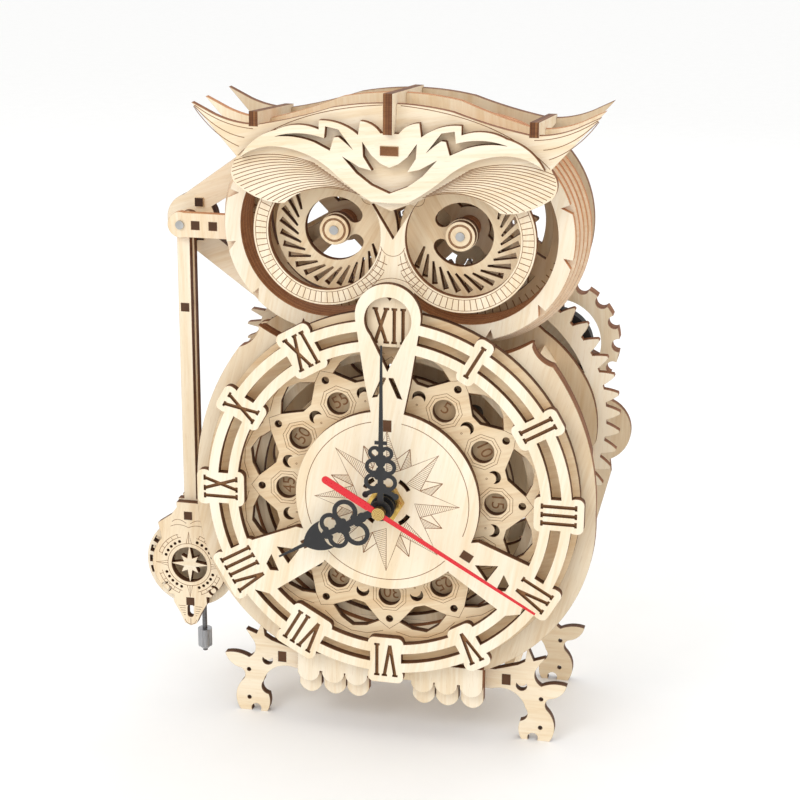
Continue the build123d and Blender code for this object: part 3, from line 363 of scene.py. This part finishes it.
def make_paint(name, colour, roughness, pattern_scale, depth):
    """Sprayed or moulded finish with a fine uneven skin."""
    material, bench, shader = new_material(name)
    place = bench.add("ShaderNodeTexCoord").outputs["Object"]
    skin = bench.noise(place, pattern_scale, 3.0)
    dust = bench.noise(place, pattern_scale * 0.12, 3.0)
    worn = tuple(min(1, value * 1.5 + 0.012) for value in colour[:3]) + (1,)
    bench.feed(shader.inputs["Base Color"], bench.blend(bench.steps(dust, 0.5, 0.8, 0, 0.4), colour, worn))
    bench.feed(shader.inputs["Roughness"], bench.steps(skin, 0.3, 0.7, roughness - 0.05, roughness + 0.08))
    emboss(bench, shader, skin, depth, 0.4)
    return material


def make_second_hand():
    """Red lacquered blade on a turned brass cap."""
    material, bench, shader = new_material("red_hand_and_cap")
    place = bench.add("ShaderNodeTexCoord").outputs["Object"]
    away = bench.mapping(place, (0, 0, -dial_height), scale=(1, 0, 1))
    span = bench.add("ShaderNodeVectorMath", operation="LENGTH")
    bench.feed(span.inputs[0], away)
    cap = bench.sum("LESS_THAN", span.outputs["Value"], wide_cap)
    rings = bench.sum("PINGPONG", span.outputs["Value"], 0.25 * mm)
    brass = bench.blend(bench.steps(rings, 0, 0.25 * mm), srgb(226, 196, 126), srgb(150, 116, 62))
    skin = bench.noise(place, 1800.0, 3.0)
    bench.feed(shader.inputs["Base Color"], bench.blend(cap, srgb(214, 26, 40), brass))
    bench.feed(shader.inputs["Metallic"], cap)
    bench.feed(shader.inputs["Roughness"], bench.steps(skin, 0.3, 0.7, 0.26, 0.36))
    emboss(bench, shader, skin, 0.01 * mm, 0.4)
    return material


def make_scorch():
    """Crust of a laser-scored line."""
    material, bench, shader = new_material("scored_line")
    place = bench.add("ShaderNodeTexCoord").outputs["Object"]
    soot = bench.noise(place, 900.0, 2.0)
    bench.feed(shader.inputs["Base Color"], bench.blend(soot, srgb(158, 112, 70), srgb(104, 68, 42)))
    bench.feed(shader.inputs["Roughness"], bench.steps(soot, 0.2, 0.8, 0.7, 0.9))
    emboss(bench, shader, soot, 0.03 * mm, 0.3)
    return material


def make_table_paint():
    material, bench, shader = new_material("matt_table")
    place = bench.add("ShaderNodeTexCoord").outputs["Object"]
    speck = bench.noise(place, 60.0, 2.0)
    bench.feed(shader.inputs["Base Color"], bench.blend(speck, srgb(253, 253, 252), srgb(249, 249, 248)))
    bench.feed(shader.inputs["Roughness"], bench.steps(speck, 0.2, 0.8, 0.75, 0.85))
    return material


def make_axle(name, node, radius):
    """Steel axle with wooden collars on it, told apart by how far a point is from the axis."""
    low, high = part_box(node)
    material, bench, shader = new_material(name)
    place = bench.add("ShaderNodeTexCoord")
    edge = bench.group(burnt_edge, Place=place.outputs["Object"], Front=low.y, Burn=0.35)
    centre = ((low.x + high.x) / 2, 0, (low.z + high.z) / 2)
    away = bench.mapping(place.outputs["Object"], tuple(-value for value in centre), scale=(1, 0, 1))
    span = bench.add("ShaderNodeVectorMath", operation="LENGTH")
    bench.feed(span.inputs[0], away)
    wood = bench.sum("GREATER_THAN", span.outputs["Value"], radius)
    marks = bench.noise(bench.mapping(place.outputs["Object"], scale=(300, 4000, 300)), 1.0, 2.0)
    steel = bench.blend(marks, srgb(196, 196, 194), srgb(150, 150, 150))
    bench.feed(shader.inputs["Base Color"], bench.blend(wood, steel, edge["Colour"]))
    bench.feed(shader.inputs["Metallic"], bench.sum("SUBTRACT", 1.0, wood))
    bench.feed(shader.inputs["Roughness"], bench.steps(wood, 0, 1, 0.28, 0.7))
    emboss(bench, shader, marks, 0.02 * mm, 0.2)
    return material


# ---- wooden plates: grain direction in degrees, warmth of the veneer (on deep-set plates such as the number disc and lattice, partly painted shade), depth of the burn ----
plates = {
    "dial_front": (80, 0.05, 0.85), "dial_twelve": (90, 0.45, 0.75), "dial_lattice": (15, 0.62, 0.9),
    "number_disc": (70, 0.9, 0.9), "body_front": (75, 0.35, 0.6), "body_backing": (100, 0.5, 0.7),
    "bearing_plate": (85, 0.6, 0.8), "body_rear": (90, 0.45, 0.7), "brow_crest": (5, 0.12, 0.7),
    "face_plate": (10, 0.18, 0.55), "lens_plate": (85, 0.15, 0.7), "goggle_front": (80, 0.08, 0.12),
    "goggle_second": (12, 0.3, 0.1), "goggle_ear_plate": (95, 0.25, 0.15), "goggle_back_pair": (5, 0.3, 0.12),
    "head_rear": (88, 0.4, 0.7), "left_eye_iris": (60, 0.6, 0.75), "right_eye_iris": (120, 0.6, 0.75),
    "left_eye_gear": (20, 0.5, 0.8), "right_eye_gear": (75, 0.5, 0.8), "drive_gear": (85, 0.0, 0.6),
    "drive_hub_gear": (10, 0.4, 0.7), "eye_pinion": (45, 0.4, 0.7), "escape_pinion": (45, 0.4, 0.7),
    "escape_wheel": (30, 0.4, 0.7), "winding_pinion": (60, 0.4, 0.7), "winding_wheel": (95, 0.3, 0.6),
    "feet_front": (0, 0.2, 0.9), "feet_rear": (0, 0.35, 0.9), "feathers_pointed": (90, 0.15, 0.7),
    "feathers_rounded": (90, 0.1, 0.6), "pendulum_front": (90, 0.12, 0.8), "pendulum_back": (90, 0.3, 0.8),
    "pendulum_bracket": (20, 0.2, 0.85), "bob_medallion": (85, 0.4, 0.85), "bob_emblem": (0, 0.1, 0.8),
    "spacer_pins": (90, 0.4, 0.3), "crown_slats": (0, 0.25, 0.75), "body_ribs": (0, 0.4, 0.8),
    "front_pegs": (90, 0.55, 0.8), "foot_rails": (0, 0.3, 0.8), "pendulum_pegs": (90, 0.55, 0.9),
    "bracket_slats": (0, 0.55, 0.9),
}
# Painted shade: share of shaded grey-brown mixed into the faces of plates that sit deep inside the clock.
painted_shade = {
    "number_disc": 0.5, "bearing_plate": 0.25, "head_rear": 0.25, "body_rear": 0.15, "body_backing": 0.2,
    "body_front": 0.08, "escape_wheel": 0.2, "left_eye_gear": 0.25, "right_eye_gear": 0.25,
}
cuts = {
    "body_ribs": "ends", "front_pegs": "ends", "foot_rails": "ends", "pendulum_pegs": "ends",
    "bracket_slats": "ends", "crown_slats": "upright",
}
engraved_plates = {"dial_front", "dial_twelve"}


def dress(node, material):
    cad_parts[node].data.materials.clear()
    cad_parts[node].data.materials.append(material)


def dress_nodes():
    for seed, (node, (turn, warmth, burn)) in enumerate(plates.items()):
        cut = cuts.get(node, "sides")
        front = ply / 2 if cut == "upright" else face_depth(node)
        dress(node, make_plywood(f"birch_{node}", front, turn, warmth, burn, seed + 1, cut,
                                 painted_shade.get(node, 0.0), node in engraved_plates))
    for node, radius in (("drive_axle", 2.1), ("left_eye_axle", 1.6), ("right_eye_axle", 1.6),
                         ("escape_axle", 1.6), ("winding_axle", 1.6)):
        dress(node, make_axle(f"steel_and_collars_{node}", node, radius * mm))
    blackened = make_paint("blackened_steel", srgb(26, 26, 28), 0.36, 2500, 0.01 * mm)
    for node in ("hour_hand", "minute_hand"):
        dress(node, blackened)
    dress("second_hand", make_second_hand())
    dress("movement_case", make_paint("black_moulding", srgb(22, 22, 24), 0.5, 3500, 0.04 * mm))
    dress("time_knob", make_paint("dark_moulding", srgb(34, 34, 37), 0.42, 3500, 0.03 * mm))
    dress("spring_barrel", make_paint("black_barrel", srgb(24, 24, 26), 0.45, 3000, 0.03 * mm))
    brass = make_metal("turned_brass", srgb(212, 176, 96), 0.26, (500, 3000, 500))
    for node in ("movement_nut", "hour_tube", "minute_tube"):
        dress(node, brass)
    dress("pendulum_pin", make_metal("drawn_steel", srgb(200, 200, 198), 0.28, (300, 4000, 300)))
    dress("weight_pin", make_metal("threaded_steel", srgb(120, 120, 122), 0.35, (500, 500, 2500)))
    dress("weight_knob", make_metal("satin_zinc", srgb(176, 177, 180), 0.38, (2500, 2500, 200)))


# ---- scored lines ----
def at(x, z, depth=0.0):
    """Point of the drawing, in mm about the dial's centre, as a place in the scene."""
    return (x * mm, depth, dial_height + z * mm)


def polar(radius, angle, middle=(0, 0)):
    turn = math.radians(angle)
    return (middle[0] + radius * math.cos(turn), middle[1] + radius * math.sin(turn))


def arc(middle, radius, start, end, step=4.0):
    count = max(2, round(abs(end - start) / step))
    return [polar(radius, start + (end - start) * i / count, middle) for i in range(count + 1)]


def part_way(start, end, share):
    return tuple(a + share * (b - a) for a, b in zip(start, end))


def curve_through(start, pull, end, count=14):
    """Smooth line from start to end, drawn towards pull."""
    line = []
    for i in range(count + 1):
        t = i / count
        a, b, c = (1 - t) ** 2, 2 * t * (1 - t), t * t
        line.append(tuple(a * s + b * p + c * e for s, p, e in zip(start, pull, end)))
    return line


def mirrored(lines):
    return lines + [[(-x, z) for x, z in line] for line in lines]


def score(name, node, body, lines, width):
    """Scores the lines into the front face of a node: round beads, pressed almost flat on the face."""
    bpy.ops.object.select_all(action="DESELECT")
    bpy.ops.curve.primitive_bezier_curve_add()
    bead = bpy.context.object
    bead.data.splines.clear()
    bead.data.bevel_depth = width / 2
    bead.data.bevel_resolution = 1
    bead.data.use_fill_caps = True
    for line in lines:
        closed = math.dist(line[0], line[-1]) < 0.01
        points = line[:-1] if closed else line
        run = bead.data.splines.new("POLY")
        run.points.add(len(points) - 1)
        for spot, (x, z) in zip(run.points, points):
            spot.co = (*at(x, z), 1)
        run.use_cyclic_u = closed
    bpy.ops.object.convert(target="MESH")
    piece = bpy.context.object
    piece.name = name
    press = Matrix.Translation((0, face_depth(node), 0)) @ Matrix.Diagonal((1, 2 * score_proud / width, 1, 1))
    piece.data.transform(piece.matrix_world)
    piece.matrix_world = Matrix.Identity(4)
    piece.data.transform(press)
    finish_piece(piece, body, scored_line)
    return piece


def finish_piece(piece, body, material):
    piece.data.materials.clear()
    piece.data.materials.append(material)
    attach(piece, body)


def engrave_number(text, middle, turn, height, node, body):
    """Digits burnt into a face, their tops turned away from the dial's centre."""
    bpy.ops.object.select_all(action="DESELECT")
    bpy.ops.object.text_add()
    digits = bpy.context.object
    digits.name = f"engraved_{text}"
    digits.data.body = text
    digits.data.align_x, digits.data.align_y = "CENTER", "CENTER"
    digits.data.size = height
    digits.data.extrude = score_proud
    digits.data.space_character = 0.95
    bpy.ops.object.convert(target="MESH")
    stand = Matrix.Rotation(math.radians(90), 4, "X")
    spin = Matrix.Rotation(math.radians(turn), 4, "Y")
    digits.data.transform(Matrix.Translation(at(*middle, face_depth(node))) @ spin @ stand)
    bpy.ops.object.mode_set(mode="EDIT")
    bpy.ops.mesh.select_all(action="SELECT")
    bpy.ops.mesh.remove_doubles(threshold=0.001 * mm)
    bpy.ops.mesh.normals_make_consistent(inside=False)
    bpy.ops.object.mode_set(mode="OBJECT")
    finish_piece(digits, body, scored_line)


def compass_star():
    """Sixteen-point compass: outlines, and rungs across one half of each point."""
    outlines, rungs = [], []
    for k in range(8):
        angle = 90 - 45 * k
        tip, short_tip = polar(compass_tip, angle), polar(compass_short_tip, angle + 22.5)
        valleys = [polar(compass_valley, angle + 22.5), polar(compass_valley, angle - 22.5)]
        root = polar(compass_root, angle)
        outlines.append([valleys[0], tip, valleys[1]])
        outlines.append([tip, root, valleys[1]])
        for side in (1, -1):
            near_tip = polar(compass_tip, angle + 22.5 - 22.5 * side)
            outlines.append([short_tip, part_way(near_tip, valleys[0], 0.72)])
        outlines.append([short_tip, valleys[0]])
        rungs += ladder(tip, root, valleys[1], 22)
        rungs += ladder(short_tip, valleys[0], part_way(tip, valleys[0], 0.72), 12)
    return outlines, rungs


def ladder(tip, first_end, second_end, count):
    """Rungs between two lines that leave the same tip."""
    lines = []
    for i in range(1, count):
        lines.append([part_way(tip, end, i / count) for end in (first_end, second_end)])
    return lines


def dial_lines():
    rim = 28.5
    circle = [arc((0, 0), rim, 80, -21.5), arc((0, 0), rim, -44, -136), arc((0, 0), rim, 101, 201.5)]
    outlines, rungs = compass_star()
    score("dial_circle", "dial_front", "clock_body", circle, plain_score)
    score("compass_outline", "dial_front", "clock_body", outlines, plain_score)
    score("compass_rungs", "dial_front", "clock_body", rungs, rung_score)


def lattice_lines():
    lines = []
    for hour in hours:
        turn = 90 - 30 * hour
        middle = polar(number_circle, turn)
        for radius in (5.2, 6.3):
            corners = [polar(radius, turn + 22.5 + 45 * i, middle) for i in range(9)]
            lines.append(corners)
        spike = [(49.2, -9), (46.9, -4.6), (49.6, 0), (46.9, 4.6), (49.2, 9)]
        lines.append([polar(radius, turn + angle) for radius, angle in spike])
        fan = [(50.6, -12.4), (52.6, -6.5), (53.4, 0), (52.6, 6.5), (50.6, 12.4)]
        lines.append([polar(radius, turn + 15 + angle) for radius, angle in fan])
        lines.append(arc(polar(34.5, turn + 15), 0.3, 0, 360, 60))
    score("lattice_lines", "dial_lattice", "clock_body", lines, fine_score)
    for hour in hours:
        text = str(60 if hour == 0 else 5 * hour)
        middle = polar(number_circle, 90 - 30 * hour)
        engrave_number(text, middle, 30 * hour, number_height * mm, "number_disc", "clock_body")


def eyelid_lines():
    """Feather lines that fan out from the beak to the scalloped edge of each eyelid, and up the ears."""
    edge = [(38.3, 100.6), (43.6, 101.4), (49.4, 104.2), (52.9, 106.8), (54.1, 110.4), (53.2, 113.8)]
    count = 15
    lines = []
    for i in range(count):
        t = i / (count - 1)
        place = t * (len(edge) - 1)
        low = min(int(place), len(edge) - 2)
        end = part_way(edge[low], edge[low + 1], place - low)
        start = (10.5 + 15 * t, 104.4 + 9.6 * t)
        pull = (25 + 15 * t, 109.5 + 9.5 * t)
        lines.append(curve_through(start, pull, end))
    ears = [((46.5, 124.6), (57, 125.0), (66.4, 131.6)), ((49.5, 121.6), (58.5, 122.6), (66.6, 131.4)),
            ((51.4, 118.6), (60, 121.6), (66.8, 131.2))]
    lines += [curve_through(*ear) for ear in ears]
    lines.append(curve_through((3, 134.0), (36, 131.5), (51.8, 115.6), 20))
    score("feather_lines", "face_plate", "clock_body", mirrored(lines), plain_score)


def lens_lines():
    ticks = []
    for i in range(35):
        angle = 24 - 5.3 * i
        ticks.append([polar(20.0, angle, lens_place), polar(23.6, angle, lens_place)])
    rings = [arc(lens_place, 19.95, 30, -165, 4), arc(lens_place, 23.7, 30, -150, 4)]
    nose = [curve_through(*line) for line in (
        ((2.6, 84.0), (3.0, 76.5), (11.6, 72.6)), ((3.8, 86.0), (4.6, 79.5), (9.8, 75.6)),
        ((0, 76.4), (6, 76.0), (10.0, 71.6)), ((7.6, 100.8), (11.0, 101.0), (10.6, 104.6)))]
    score("lens_ticks", "lens_plate", "clock_body", mirrored(ticks), plain_score)
    score("lens_rings", "lens_plate", "clock_body", mirrored(rings + nose), fine_score)
    beak = [arc((0, 88.0), 4.2, 195, 345, 10)]
    score("beak_line", "lens_plate", "clock_body", beak, fine_score)


def hub_lines():
    for side, name in ((-1, "left_eye"), (1, "right_eye")):
        middle = (side * eye_place[0], eye_place[1])
        rings = [arc(middle, 3.9, 0, 360, 8), arc(middle, 3.5, 0, 360, 8)]
        score(f"{name}_hub_rings", f"{name}_iris", name, rings, bold_score)


def bearing_lines():
    """Radial ticks on the middle plate, seen through the gap round each lens."""
    ticks = []
    for i in range(72):
        angle = 5 * i
        ticks.append([polar(28.6, angle, goggle_place), polar(34.5, angle, goggle_place)])
    ticks = [line for line in ticks if line[1][0] > 2]
    score("bearing_ticks", "bearing_plate", "clock_body", mirrored(ticks), bold_score)


def medallion_lines():
    def about(points):
        return [(bob_place[0] + x, bob_place[1] + z) for x, z in points]

    lines = [arc(bob_place, 8.2, 0, 360, 6)]
    for quarter in range(4):
        base = 90 * quarter
        lines.append(arc(bob_place, 10.9, base + 16, base + 74, 5))
        lines.append(arc(bob_place, 12.2, base + 20, base + 70, 5))
        for angle in (22, 34, 46, 58, 70):
            lines.append([polar(radius, base + angle, bob_place) for radius in (10.9, 12.2)])
        tip = polar(12.8, base, bob_place)
        lines.append([polar(8.2, base + 7, bob_place), tip, polar(8.2, base - 7, bob_place)])
        lines.append([polar(8.2, base, bob_place), tip])
    for side in (-1, 1):
        for i in range(5):
            z = -16.4 - 0.9 * i
            lines.append(about([(side * 1.9, z), (side * (4.6 - 0.5 * i), z)]))
        lines.append(about(curve_through((side * 6.2, 16.2), (side * 4.0, 18.5), (side * 0.8, 16.0))))
        lines.append(about(curve_through((side * 6.8, 14.4), (side * 3.4, 16.2), (0, 14.4))))
        lines.append(about(curve_through((side * 2.2, -21.6), (side * 1.8, -23.4), (0, -23.6), 8)))
    lines.append(about([(0, -21.2), (0, -23.6)]))
    score("medallion_lines", "bob_medallion", "pendulum", lines, fine_score)


scored_line = make_scorch()

set_camera()
light_studio()
lay_table()
dress_nodes()
dial_lines()
lattice_lines()
eyelid_lines()
lens_lines()
hub_lines()
bearing_lines()
medallion_lines()
